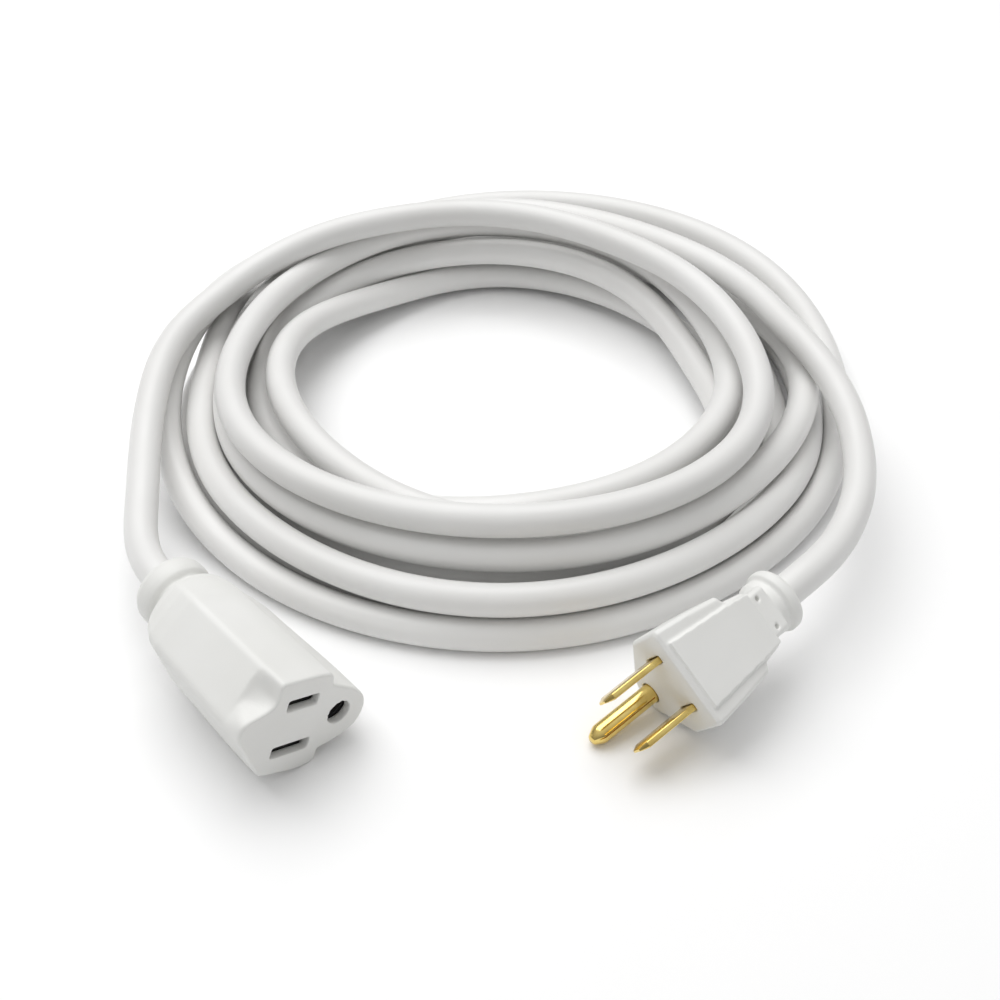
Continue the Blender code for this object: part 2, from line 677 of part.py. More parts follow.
# ---------------------------------------------------------------- assembly
def make_materials():
    return {
        "jacket": material("jacket_pvc", (0.83, 0.83, 0.85), 0.32),
        "overmould": material("overmould_pvc", (0.86, 0.86, 0.84), 0.5),
        "carrier": material("carrier_nylon", (0.78, 0.78, 0.74), 0.55),
        "brass": material("brass", (0.78, 0.58, 0.24), 0.24, 1.0),
        "copper": material("copper", (0.80, 0.42, 0.26), 0.35, 1.0),
        "wire_line": material("insulation_black", (0.03, 0.03, 0.03), 0.45),
        "wire_neutral": material("insulation_white", (0.85, 0.85, 0.83), 0.45),
        "wire_ground": material("insulation_green", (0.05, 0.35, 0.12), 0.45),
    }


def tail_point(pose, x, axis_z):
    return tuple((pose @ (Vector((x, 0, axis_z)) * MM)) / MM)


def split_at(line, near):
    """Index of the point of a polyline nearest a place."""
    return int(np.argmin(np.linalg.norm(line - np.array(near), axis=1)))


def hang(body, anchor, col, prefixes, spared=()):
    """Parent the body's nodes to an empty that stands on its joint axis."""
    pivot = bpy.data.objects.new(body + "_pivot", None)
    pivot.location = Vector(anchor) * MM
    pivot.empty_display_size = 0.01
    col.objects.link(pivot)
    bpy.context.view_layer.update()
    for ob in list(col.objects):
        if ob.type != "MESH" or not ob.name.startswith(prefixes) or ob.name.startswith(spared):
            continue
        ob.parent = pivot
        ob.matrix_parent_inverse = pivot.matrix_world.inverted()


def centre(col):
    """Move everything so the origin is the middle of the footprint, on the resting plane."""
    bpy.context.view_layer.update()
    meshes = [ob for ob in col.objects if ob.type == "MESH"]
    points = np.array([ob.matrix_world @ v.co for ob in meshes for v in ob.data.vertices])
    low, high = points.min(axis=0), points.max(axis=0)
    shift = Vector((-(low[0] + high[0]) / 2, -(low[1] + high[1]) / 2, -low[2]))
    for ob in col.objects:
        if ob.parent is None:
            ob.location += shift
    bpy.context.view_layer.update()


def build():
    clear_scene()
    col = new_collection("extension_cord")
    tools = new_collection("cutters", hidden=True)
    mats = make_materials()
    half = HINGE_GAP / 2
    coil = settle_coil()[::RING_EVERY]
    cord_run("coil", trim(coil, half, half), mats, col)

    pose = end_pose(*CONNECTOR_POSE)
    far, tail = (tail_point(pose, x, CONNECTOR_AXIS_Z) for x in (CONNECTOR_JACKET_X, CONNECTOR_TAIL_X))
    lead = spline([far, tail] + CONNECTOR_LEAD + [tuple(coil[0])], RING_STEP)
    mid, end = split_at(lead, CONNECTOR_LEAD[2]), split_at(lead, CONNECTOR_LEAD[0])
    cord_run("connector_lead_a", trim(lead[mid:], half, half), mats, col)
    cord_run("connector_lead_b", trim(lead[end:mid + 1], half, half), mats, col)
    build_connector(trim(lead[:end + 1], 0.0, half)[::-1], mats, col, tools)
    hang("connector_lead_a", coil[0], col, "connector_lead_a")
    hang("connector_lead_b", lead[mid], col, "connector_lead_b")
    hang("connector", lead[end], col, "connector_", "connector_lead")

    pose = end_pose(*PLUG_POSE)
    far, tail, out = (tail_point(pose, x, PLUG_AXIS_Z)
                      for x in (PLUG_JACKET_X, PLUG_TAIL_X, PLUG_TAIL_X - 7.0))
    lead = spline([tuple(coil[-1])] + PLUG_LEAD + [out, tail, far], RING_STEP)
    mid, end = split_at(lead, PLUG_LEAD[3]), split_at(lead, out)
    cord_run("plug_lead_a", trim(lead[:mid + 1], half, half), mats, col)
    cord_run("plug_lead_b", trim(lead[mid:end + 1], half, half), mats, col)
    build_plug(trim(lead[end:], half, 0.0), mats, col, tools)
    hang("plug_lead_a", coil[-1], col, "plug_lead_a")
    hang("plug_lead_b", lead[mid], col, "plug_lead_b")
    hang("plug", lead[end], col, "plug_", "plug_lead")
    centre(col)


build()
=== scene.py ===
"""Extension cord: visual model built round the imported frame. Metres in the scene, millimetres in the tables."""
import json
import math

import bpy
import bmesh
import numpy as np
from mathutils import Matrix, Vector


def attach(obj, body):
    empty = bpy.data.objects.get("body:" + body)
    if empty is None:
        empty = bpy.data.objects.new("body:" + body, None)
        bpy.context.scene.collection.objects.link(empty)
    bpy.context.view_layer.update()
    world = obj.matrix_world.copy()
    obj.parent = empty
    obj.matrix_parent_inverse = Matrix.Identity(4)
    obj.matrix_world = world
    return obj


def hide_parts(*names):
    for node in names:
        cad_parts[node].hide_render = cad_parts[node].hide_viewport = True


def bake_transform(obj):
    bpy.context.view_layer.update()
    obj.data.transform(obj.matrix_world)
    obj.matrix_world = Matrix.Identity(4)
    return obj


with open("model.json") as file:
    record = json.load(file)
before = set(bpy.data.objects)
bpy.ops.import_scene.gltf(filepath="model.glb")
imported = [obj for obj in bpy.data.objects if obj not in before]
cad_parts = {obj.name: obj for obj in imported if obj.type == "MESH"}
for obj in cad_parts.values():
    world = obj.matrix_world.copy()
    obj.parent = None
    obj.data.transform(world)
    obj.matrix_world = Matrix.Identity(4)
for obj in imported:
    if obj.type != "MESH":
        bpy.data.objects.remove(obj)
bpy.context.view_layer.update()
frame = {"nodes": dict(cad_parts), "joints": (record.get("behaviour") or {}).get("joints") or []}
MM = 0.001

# Cord, mm.
CORD_R = 4.15
JACKET_WALL = 0.8
CONDUCTOR_R = 1.25
CONDUCTOR_PITCH_R = 1.62
SIDES = 28
SPACING = 2.2          # distance between rings
NECK_SPAN = 12.0       # half length of the bend beside an end
LEAD_SPAN = 20.0       # half length of the bends in the loose cord
ROOT = 30.0            # cord of the coil that belongs to the bend at its end

# Coil lay, mm: one row per turn, (radius, height) of the cord's centre at the eight bearings
# left, back left, back, back right, right, front right, front, front left.
LAY = [
    [(89, 24.5), (65, 29), (57, 30), (54, 30), (65, 30), (90, 26), (92, 25.5), (88, 25)],
    [(70, 24), (66, 20), (64, 21), (60, 21), (66, 17), (77, 19), (80, 18), (74, 12)],
    [(71, 13), (66, 17), (60, 18), (57, 18), (61, 9), (82, 11), (83, 17), (69, 20)],
    [(61, 18), (57, 10), (63, 6), (59, 8), (70, 5), (86, 7), (92, 9), (86, 8)],
    [(78, 5), (75, 5), (73, 10), (76, 12), (89, 14), (94, 17), (94, 17.5), (90, 18)],
    [(77, 14), (84, 12), (82, 12), (83, 5), (80, 4.5), (93, 4.5), (98, 4.2), (94, 4.2)],
    [(89, 4.2), (84, 4.2), (89, 4.5), (92, 4.5), (90, 4.5), (98, 9), (105, 11), (93, 11)],
    [(80, 8), (92, 4.5), (104, 9), (107, 10), (99, 7), (101, 4.2), (106.5, 4.2), (101, 4.2)],
    [(92, 14), (77, 20), (74, 22), (72, 24), (83, 25.5)],
]
STATIONS = 40
CLEARANCE = 0.9
CONNECTOR_LEAD = [(-86, -88.5, 17), (-89, -72, 18.5), (-91.5, -54, 20), (-93, -36, 22), (-92.5, -16, 24)]
PLUG_LEAD = [(86.5, -9, 25.5), (91.5, -24, 24.5), (94.5, -40, 23), (94.5, -56, 21.5), (91, -74, 20.5), (84, -89, 19.5)]
CONNECTOR_POSE = ((-42.3, -145.4, 14.9), -47.9, -3.8, -20.1)
PLUG_POSE = ((39.4, -133.1, 14.5), -140.0, -9.2, -127.3)

# NEMA 5-15 pattern, mm.
BLADE_Y = 6.35
GROUND_Z = 11.9
BLADE_T = 1.5
BLADE_W = 6.35
BLADE_LEN = 15.9
PIN_R = 2.38
PIN_LEN = 18.6
AXIS_Z = 2.0           # height of the cord's axis in both ends


def joint_place(name):
    joint = next(j for j in frame["joints"] if j["name"] == name)
    return np.array(joint["pos_m"]) / MM


# ---------------------------------------------------------------- node helpers
def new_material(name, metallic=0.0):
    mat = bpy.data.materials.new(name)
    mat.use_nodes = True
    tree = mat.node_tree
    bsdf = tree.nodes["Principled BSDF"]
    bsdf.inputs["Metallic"].default_value = metallic
    return mat, tree, bsdf


def noise(tree, scale, detail=3.0, stretch=None, rough=0.5):
    """Noise in the object's own metres, optionally stretched."""
    coords = tree.nodes.new("ShaderNodeTexCoord")
    mapping = tree.nodes.new("ShaderNodeMapping")
    if stretch:
        mapping.inputs["Scale"].default_value = stretch
    tex = tree.nodes.new("ShaderNodeTexNoise")
    tex.inputs["Scale"].default_value = scale
    tex.inputs["Detail"].default_value = detail
    tex.inputs["Roughness"].default_value = rough
    tree.links.new(coords.outputs["Object"], mapping.inputs["Vector"])
    tree.links.new(mapping.outputs["Vector"], tex.inputs["Vector"])
    return tex.outputs["Fac"]


def remap(tree, value, low, high, a=0.3, b=0.7):
    node = tree.nodes.new("ShaderNodeMapRange")
    node.inputs["From Min"].default_value = a
    node.inputs["From Max"].default_value = b
    node.inputs["To Min"].default_value = low
    node.inputs["To Max"].default_value = high
    tree.links.new(value, node.inputs["Value"])
    return node.outputs["Result"]


def blend_colour(tree, factor, first, second):
    node = tree.nodes.new("ShaderNodeMix")
    node.data_type = "RGBA"
    node.inputs[6].default_value = (*first, 1.0)
    node.inputs[7].default_value = (*second, 1.0)
    tree.links.new(factor, node.inputs[0])
    return node.outputs[2]


def bump(tree, bsdf, heights):
    """Chain of bumps: (height socket, distance in metres, strength)."""
    normal = None
    for height, distance, strength in heights:
        node = tree.nodes.new("ShaderNodeBump")
        node.inputs["Distance"].default_value = distance
        node.inputs["Strength"].default_value = strength
        tree.links.new(height, node.inputs["Height"])
        if normal is not None:
            tree.links.new(normal, node.inputs["Normal"])
        normal = node.outputs["Normal"]
    tree.links.new(normal, bsdf.inputs["Normal"])


def plastic(name, light, dark, rough, grain, grain_depth, cloud=60.0):
    """Moulded or extruded plastic: clouded tone, uneven gloss and a fine skin."""
    mat, tree, bsdf = new_material(name)
    tone = remap(tree, noise(tree, cloud, 4.0), 0.0, 1.0)
    tree.links.new(blend_colour(tree, tone, light, dark), bsdf.inputs["Base Color"])
    gloss = remap(tree, noise(tree, cloud * 5, 4.0), rough - 0.05, rough + 0.06)
    tree.links.new(gloss, bsdf.inputs["Roughness"])
    fine = noise(tree, grain, 2.0)
    soft = noise(tree, grain / 12, 2.0)
    bump(tree, bsdf, [(soft, grain_depth * 3, 0.35), (fine, grain_depth, 0.5)])
    return mat


def metal(name, bright, deep, rough):
    """Stamped metal: polished, with a faint tarnish and uneven gloss."""
    mat, tree, bsdf = new_material(name, 1.0)
    tarnish = remap(tree, noise(tree, 180.0, 5.0), 0.0, 1.0, 0.4, 0.8)
    tree.links.new(blend_colour(tree, tarnish, bright, deep), bsdf.inputs["Base Color"])
    wear = noise(tree, 700.0, 3.0)
    tree.links.new(remap(tree, wear, rough - 0.04, rough + 0.06), bsdf.inputs["Roughness"])
    bump(tree, bsdf, [(wear, 0.000002, 0.3)])
    return mat


def make_materials():
    return {
        "jacket": plastic("cord_jacket", (0.80, 0.797, 0.785), (0.76, 0.755, 0.74), 0.38, 2600.0, 0.00001, 25.0),
        "overmould": plastic("soft_overmould", (0.82, 0.82, 0.80), (0.77, 0.77, 0.745), 0.5, 3200.0, 0.00002, 40.0),
        # Near-black carrier nylon for the insert and bridge: painted shade, so the slots and vents read dark in their
        # depths.
        "carrier": plastic("carrier_nylon", (0.05, 0.05, 0.05), (0.035, 0.035, 0.035), 0.5, 3000.0, 0.00002),
        "line": plastic("insulation_black", (0.025, 0.025, 0.025), (0.04, 0.04, 0.04), 0.42, 2600.0, 0.00001),
        "neutral": plastic("insulation_white", (0.80, 0.80, 0.78), (0.72, 0.72, 0.70), 0.42, 2600.0, 0.00001),
        "ground": plastic("insulation_green", (0.03, 0.28, 0.08), (0.02, 0.2, 0.06), 0.42, 2600.0, 0.00001),
        "brass": metal("brass", (0.90, 0.70, 0.25), (0.66, 0.46, 0.13), 0.16),
        "copper": metal("copper", (0.86, 0.45, 0.30), (0.6, 0.27, 0.16), 0.3),
    }


# ---------------------------------------------------------------- geometry helpers
def add_object(name, bm, mat, smooth=0.0, recalc=True):
    """bmesh in mm to an object in metres."""
    if recalc:
        bmesh.ops.recalc_face_normals(bm, faces=bm.faces)
    bmesh.ops.scale(bm, vec=(MM, MM, MM), verts=bm.verts)
    me = bpy.data.meshes.new(name)
    bm.to_mesh(me)
    bm.free()
    ob = bpy.data.objects.new(name, me)
    bpy.context.scene.collection.objects.link(ob)
    if mat is not None:
        me.materials.append(mat)
    if smooth:
        me.shade_smooth()
        me.set_sharp_from_angle(angle=math.radians(smooth))
    return ob


def bake(ob):
    deps = bpy.context.evaluated_depsgraph_get()
    me = bpy.data.meshes.new_from_object(ob.evaluated_get(deps))
    ob.modifiers.clear()
    ob.data = me


def boolean(ob, bm, operation):
    other = add_object("tool", bm, None)
    mod = ob.modifiers.new("bool", "BOOLEAN")
    mod.operation = operation
    mod.solver = "EXACT"
    mod.object = other
    bake(ob)
    bpy.data.objects.remove(other)


def box(x0, x1, y0, y1, z0, z1):
    bm = bmesh.new()
    bmesh.ops.create_cube(bm, size=1.0)
    bmesh.ops.scale(bm, vec=(x1 - x0, y1 - y0, z1 - z0), verts=bm.verts)
    bmesh.ops.translate(bm, vec=((x0 + x1) / 2, (y0 + y1) / 2, (z0 + z1) / 2), verts=bm.verts)
    return bm


def loft(sections):
    """Closed body through (x, [(y, z), ...]) sections of equal point count."""
    bm = bmesh.new()
    rings = [[bm.verts.new((x, y, z)) for y, z in points] for x, points in sections]
    count = len(rings[0])
    for a, b in zip(rings, rings[1:]):
        for i in range(count):
            j = (i + 1) % count
            bm.faces.new((a[i], a[j], b[j], b[i]))
    bm.faces.new(rings[0])
    bm.faces.new(reversed(rings[-1]))
    return bm


def circle(radius, z=0.0, y=0.0, count=48):
    return [(y + radius * math.cos(2 * math.pi * i / count), z + radius * math.sin(2 * math.pi * i / count))
            for i in range(count)]


def turned(profile, z=0.0, y=0.0, count=48):
    """Body of revolution about X from (x, radius) pairs."""
    return loft([(x, circle(r, z, y, count)) for x, r in profile])


def round_corners(points, radii, steps=6):
    """Polygon with each corner replaced by an arc-like run of points."""
    made = []
    count = len(points)
    for i in range(count):
        here = np.array(points[i], float)
        back = np.array(points[i - 1], float) - here
        ahead = np.array(points[(i + 1) % count], float) - here
        reach = min(radii[i], 0.48 * np.linalg.norm(back), 0.48 * np.linalg.norm(ahead))
        a = here + back / np.linalg.norm(back) * reach
        b = here + ahead / np.linalg.norm(ahead) * reach
        for t in np.linspace(0, 1, steps):
            made.append(tuple((1 - t) ** 2 * a + 2 * t * (1 - t) * here + t * t * b))
    return made


def soften(ob, voxel, rounds):
    """One skin with small moulded fillets: voxel remesh, then relax."""
    mod = ob.modifiers.new("skin", "REMESH")
    mod.mode = "VOXEL"
    mod.voxel_size = voxel * MM
    bake(ob)
    mod = ob.modifiers.new("relax", "SMOOTH")
    mod.factor = 0.5
    mod.iterations = rounds
    bake(ob)
    ob.data.shade_smooth()


def end_pose(face, heading, dip, roll):
    """Local X out of the face, local Z toward the ground pin."""
    yaw = math.radians(heading)
    pitch = math.radians(dip)
    turn = math.radians(roll)
    x = Vector((math.cos(pitch) * math.cos(yaw), math.cos(pitch) * math.sin(yaw), math.sin(pitch)))
    left = Vector((-math.sin(yaw), math.cos(yaw), 0.0))
    up = x.cross(left)
    z = math.cos(turn) * left + math.sin(turn) * up
    y = z.cross(x)
    mat = Matrix((x, y, z)).transposed().to_4x4()
    mat.translation = Vector(np.array(face) + SHIFT) * MM
    return mat


def settle(ob, pose, body, slot, *nodes):
    """Put a piece made in an end's local frame where it belongs, and tie it to its body."""
    ob.data.transform(pose)
    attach(ob, body)
    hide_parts(*nodes)
    return ob


# ---------------------------------------------------------------- cord
def between(table, step):
    """Rows of a table with step - 1 more between each two, on a smooth curve through them."""
    p = np.vstack([2 * table[0] - table[1], table, 2 * table[-1] - table[-2]])
    made = []
    for i in range(1, len(p) - 2):
        for t in np.arange(step) / step:
            b = (p[i + 1] - p[i - 1]) * t
            c = (2 * p[i - 1] - 5 * p[i] + 4 * p[i + 1] - p[i + 2]) * t * t
            d = (3 * p[i] - p[i - 1] - 3 * p[i + 1] + p[i + 2]) * t ** 3
            made.append(0.5 * (2 * p[i] + b + c + d))
    return np.array(made + [p[-2]])


def settle_coil():
    """Centre line of the coil in mm: the lay table, then turns pushed clear of each other."""
    rz = between(np.array([knot for turn in LAY for knot in turn], float), STATIONS // 8)
    count = len(rz)
    laid = rz.copy()
    apart = 2 * CORD_R + CLEARANCE
    for sweep in range(460):
        push = np.zeros_like(rz)
        for back in range(STATIONS, count, STATIONS):
            inner = rz[:count - back]
            outer = rz[back:]
            gap = outer - inner
            dist = np.maximum(np.linalg.norm(gap, axis=1, keepdims=True), 1e-6)
            move = gap / dist * np.maximum(apart - dist, 0) * 0.5
            push[:count - back] -= move
            push[back:] += move
        rz += 0.7 * push
        if sweep < 340:
            drift = rz - laid
            rz[1:-1] += 0.15 * (drift[:-2] + drift[2:] - 2 * drift[1:-1])
            rz -= 0.01 * (rz - laid)
        rz[:, 1] = np.maximum(rz[:, 1], CORD_R)
    bearing = math.pi - 2 * math.pi * np.arange(count) / STATIONS
    return np.stack([rz[:, 0] * np.cos(bearing), rz[:, 0] * np.sin(bearing), rz[:, 1]], 1)


COIL = settle_coil()
SHIFT = joint_place("connector_swing") - COIL[0]      # from the coil's centre to the frame's origin


def arc_length(line):
    return np.concatenate([[0], np.cumsum(np.linalg.norm(np.diff(line, axis=0), axis=1))])


def natural_spline(knots, spacing):
    """Cubic spline through the knots, chord-length spaced, resampled evenly."""
    p = np.array(knots, float)
    u = arc_length(p)
    h = np.diff(u)
    n = len(p)
    lhs = np.eye(n)
    rhs = np.zeros_like(p)
    for i in range(1, n - 1):
        lhs[i, i - 1:i + 2] = h[i - 1], 2 * (h[i - 1] + h[i]), h[i]
        rhs[i] = 6 * ((p[i + 1] - p[i]) / h[i] - (p[i] - p[i - 1]) / h[i - 1])
    m = np.linalg.solve(lhs, rhs)
    at = np.linspace(0, u[-1], int(u[-1] / 0.5) + 1)
    k = np.clip(np.searchsorted(u, at, side="right") - 1, 0, n - 2)
    a = (u[k + 1] - at)[:, None]
    b = (at - u[k])[:, None]
    w = h[k][:, None]
    line = (m[k] * a ** 3 + m[k + 1] * b ** 3) / (6 * w)
    line += (p[k] / w - m[k] * w / 6) * a + (p[k + 1] / w - m[k + 1] * w / 6) * b
    run = arc_length(line)
    even = np.linspace(0, run[-1], int(round(run[-1] / spacing)) + 1)
    return np.stack([np.interp(even, run, line[:, c]) for c in range(3)], 1)


def steady_frames(line):
    """Tangent and two cross directions carried along the line without twist."""
    tangent = np.gradient(line, axis=0)
    tangent /= np.linalg.norm(tangent, axis=1, keepdims=True)
    side = np.zeros_like(line)
    side[0] = np.cross(tangent[0], (0.0, 0.0, 1.0))
    side[0] /= np.linalg.norm(side[0])
    for i in range(1, len(line)):
        s = side[i - 1] - tangent[i] * (side[i - 1] @ tangent[i])
        side[i] = s / np.linalg.norm(s)
    return tangent, side, np.cross(side, tangent)


def tube_mesh(line, side, upper, radius, sides, wall=0.0):
    """Closed rod, or a pipe with wall, along part of the cord."""
    bm = bmesh.new()
    angle = 2 * np.pi * np.arange(sides) / sides

    def skin(r):
        rings = []
        for p, s, u in zip(line, side, upper):
            ring = p + r * (np.cos(angle)[:, None] * s + np.sin(angle)[:, None] * u)
            rings.append([bm.verts.new(v) for v in ring])
        for a, b in zip(rings, rings[1:]):
            for i in range(sides):
                j = (i + 1) % sides
                bm.faces.new((a[i], a[j], b[j], b[i]))
        return rings

    outer = skin(radius)
    if not wall:
        bm.faces.new(outer[0])
        bm.faces.new(reversed(outer[-1]))
        return bm
    inner = skin(radius - wall)
    for end in (0, -1):
        for i in range(sides):
            j = (i + 1) % sides
            bm.faces.new((outer[end][i], outer[end][j], inner[end][j], inner[end][i]))
    return bm


class Cord:
    """The whole cord's centre line, with its steady frames and places along it."""

    def __init__(self):
        coil = COIL + SHIFT
        for _ in range(2):
            coil[1:-1] += 0.25 * (coil[:-2] + coil[2:] - 2 * coil[1:-1])
        first = tail_points(CONNECTOR_POSE, (-46.0, -54.5))
        last = tail_points(PLUG_POSE, (-44.0, -37.0, -30.0))
        knots = np.vstack([first, np.array(CONNECTOR_LEAD) + SHIFT, coil, np.array(PLUG_LEAD) + SHIFT, last])
        self.line = natural_spline(knots, SPACING)
        self.run = arc_length(self.line)
        _, self.side, self.upper = steady_frames(self.line)

    def near(self, place):
        """Arc length of the point nearest a place."""
        return self.run[int(np.argmin(np.linalg.norm(self.line - np.array(place), axis=1)))]

    def at(self, s):
        return Vector([np.interp(s, self.run, self.line[:, k]) for k in range(3)]) * MM

    def cut(self, s0, s1):
        """Rings from s0 to s1; two pieces that meet share the ring between them."""
        at = np.concatenate([[s0], self.run[(self.run > s0 + 0.4) & (self.run < s1 - 0.4)], [s1]])
        return [np.stack([np.interp(at, self.run, grid[:, k]) for k in range(3)], 1)
                for grid in (self.line, self.side, self.upper)]


def tail_points(pose, xs):
    mat = end_pose(*pose)
    return [tuple((mat @ (Vector((x, 0, AXIS_Z)) * MM)) / MM) for x in xs]


def jacket_piece(cord, name, s0, s1, mat):
    line, side, upper = cord.cut(s0, s1)
    ob = add_object(name, tube_mesh(line, side, upper, CORD_R, SIDES, JACKET_WALL), mat, 50)
    return ob


def build_cord(mats):
    cord = Cord()
    whole = cord.run[-1]
    ends = {}
    for end, sign in (("connector", 1.0), ("plug", -1.0)):
        lift, bend, swing = (cord.near(joint_place(f"{end}_{kind}")) for kind in ("lift", "bend", "swing"))
        rim = 0.0 if sign > 0 else whole
        stops = [rim, (lift + bend) / 2, (bend + swing) / 2, swing + sign * ROOT]
        cad = [[end + "_cord_end_jacket"], [end + "_lead_b_jacket"], [end + "_lead_a_jacket"]]
        bends = ((lift, "neck", NECK_SPAN), (bend, "bend", LEAD_SPAN), (swing, "root", LEAD_SPAN))
        for k, (pivot, label, span) in enumerate(bends):
            s0, s1 = sorted((stops[k], stops[k + 1]))
            piece = jacket_piece(cord, f"cord_{end}_{label}", s0, s1, mats["jacket"])
            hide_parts(*cad[k])
            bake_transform(piece)
        ends[end] = stops[3]
    coil = jacket_piece(cord, "cord_coil", ends["connector"], ends["plug"], mats["jacket"])
    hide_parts("coil_jacket")
    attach(coil, "coil")
    line, side, upper = cord.cut(ends["connector"] - ROOT + 3, ends["plug"] + ROOT - 3)
    for k, role in enumerate(("line", "neutral", "ground")):
        angle = math.radians(90 + 120 * k) + 2 * math.pi * np.arange(len(line)) * SPACING / 75.0
        path = line + CONDUCTOR_PITCH_R * (np.cos(angle)[:, None] * side + np.sin(angle)[:, None] * upper)
        wire = add_object(f"coil_core_{role}", tube_mesh(path, side, upper, CONDUCTOR_R, 8), mats[role], 50)
        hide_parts("coil_conductor_" + role)
        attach(wire, "coil")
    return cord


# ---------------------------------------------------------------- plug
def plug_section(w, z0, shoulder, z1, r):
    """D outline: broad flat side at z0, rounded round the ground pin."""
    dome = [(r * math.cos(a), z1 - r + r * math.sin(a)) for a in np.radians(np.linspace(25, 155, 15))]
    return [(-w + 0.8, z0), (w - 0.8, z0), (w, z0 + 0.8), (w, shoulder)] + dome + [(-w, shoulder), (-w, z0 + 0.8)]


def plug_shell():
    return loft([
        (0.0, plug_section(11.9, -7.8, 4.2, 16.2, 6.4)),
        (-0.7, plug_section(12.5, -8.4, 4.5, 16.7, 6.9)),
        (-9.0, plug_section(11.6, -8.4, 4.5, 16.4, 6.9)),
        (-17.6, plug_section(10.3, -8.3, 4.4, 15.4, 6.6)),
        (-18.6, plug_section(8.3, -8.2, 4.2, 14.4, 6.4)),
        (-23.6, plug_section(7.3, -8.0, 4.0, 12.0, 6.0)),
        (-24.8, plug_section(6.0, -6.9, 3.8, 10.6, 5.6)),
        (-30.4, plug_section(5.8, -4.9, 3.4, 8.4, 5.2)),
    ])


def plug_panel():
    """Raised plain panel on the broad side, narrowing toward the cord."""
    def outline(x, half):
        return (x, [(-half, -9.3), (half, -9.3), (half + 0.5, -7.0), (-half - 0.5, -7.0)])
    return loft([outline(-1.4, 8.5), outline(-18.0, 7.2), outline(-23.9, 6.5)])


def places(hand):
    """(role, y, z) of the three poles; the connector mirrors the plug."""
    return (("line", hand * BLADE_Y, 0.0), ("neutral", -hand * BLADE_Y, 0.0), ("ground", 0.0, GROUND_Z))


PLUG_COLLAR = [(-36.6, 6.2), (-36.3, 7.4), (-35.4, 7.9), (-33.7, 7.9), (-33.2, 7.3), (-32.9, 6.8), (-32.3, 7.0),
               (-30.4, 7.0), (-29.2, 6.3)]


def build_plug(mats):
    pose = end_pose(*PLUG_POSE)
    shell = add_object("plug_body", plug_shell(), mats["overmould"])
    boolean(shell, plug_panel(), "UNION")
    boolean(shell, turned(PLUG_COLLAR, AXIS_Z), "UNION")
    boolean(shell, turned([(-31.0, 5.6), (-28.0, 5.6)], AXIS_Z), "UNION")
    boolean(shell, box(-9.3, -2.3, -9.5, 9.5, -4.1, 4.3), "DIFFERENCE")
    boolean(shell, box(-9.3, -2.3, -3.6, 3.6, 3.9, 10.9), "DIFFERENCE")
    boolean(shell, turned([(-9.3, 3.9), (-2.3, 3.9)], 11.4), "DIFFERENCE")
    boolean(shell, turned([(-40.0, CORD_R + 0.05), (-28.0, CORD_R + 0.05)], AXIS_Z), "DIFFERENCE")
    boolean(shell, loft([
        (-28.5, plug_section(4.6, -3.0, 2.4, 6.9, 4.4)),
        (-22.0, plug_section(6.2, -3.5, 2.9, 11.0, 4.5)),
        (-18.8, plug_section(7.3, -3.6, 2.9, 13.0, 4.5)),
        (-17.2, plug_section(8.4, -3.6, 3.0, 14.0, 4.5)),
        (-8.9, plug_section(8.7, -3.6, 3.0, 14.2, 4.5)),
    ]), "DIFFERENCE")
    for y in (-3.8, 3.8):
        vent = turned([(-1.2, 0.65), (1.2, 0.65)], count=20)
        bmesh.ops.rotate(vent, verts=vent.verts, cent=(0, 0, 0), matrix=Matrix.Rotation(math.radians(90), 3, "Y"))
        bmesh.ops.translate(vent, verts=vent.verts, vec=(-27.0, y, -5.9))
        boolean(shell, vent, "DIFFERENCE")
    gap = 0.2
    for role, y, z in places(1.0):
        if role == "ground":
            boolean(shell, turned([(-3.0, PIN_R + gap), (2.0, PIN_R + gap)], z, y), "DIFFERENCE")
        else:
            half = BLADE_T / 2 + gap
            boolean(shell, box(-3.0, 2.0, y - half, y + half, -BLADE_W / 2 - gap, BLADE_W / 2 + gap), "DIFFERENCE")
    soften(shell, 0.3, 3)
    settle(shell, pose, "plug", "overmould", "plug_overmould")
    for role, y, z in places(1.0):
        if role == "ground":
            continue
        settle(blade("plug_prong_" + role, y, mats), pose, "plug", "brass", "plug_blade_" + role)
    settle(ground_pin("plug_prong_ground", GROUND_Z, mats), pose, "plug", "brass", "plug_ground_pin")


def crimp(ob, y, z):
    boolean(ob, turned([(-15.6, 1.6), (-11.0, 1.6)], z, y, 24), "UNION")
    boolean(ob, turned([(-16.6, 1.0), (-11.6, 1.0)], z, y, 24), "DIFFERENCE")


def blade(name, y, mats):
    """Flat prong with a chamfered tip."""
    def cut(x, t, w, r=0.35):
        return (x, round_corners([(y - t, -w), (y + t, -w), (y + t, w), (y - t, w)], [r] * 4, 4))
    t, w = BLADE_T / 2, BLADE_W / 2
    ob = add_object(name, loft([
        cut(BLADE_LEN, 0.25, w - 1.6, 0.1), cut(BLADE_LEN - 0.5, 0.42, w - 1.15, 0.2), cut(BLADE_LEN - 1.9, t, w),
        cut(-9.2, t, w), cut(-10.2, t, 1.0), cut(-11.4, t, 1.0)]), mats["brass"], 35)
    crimp(ob, y, 0.0)
    return ob


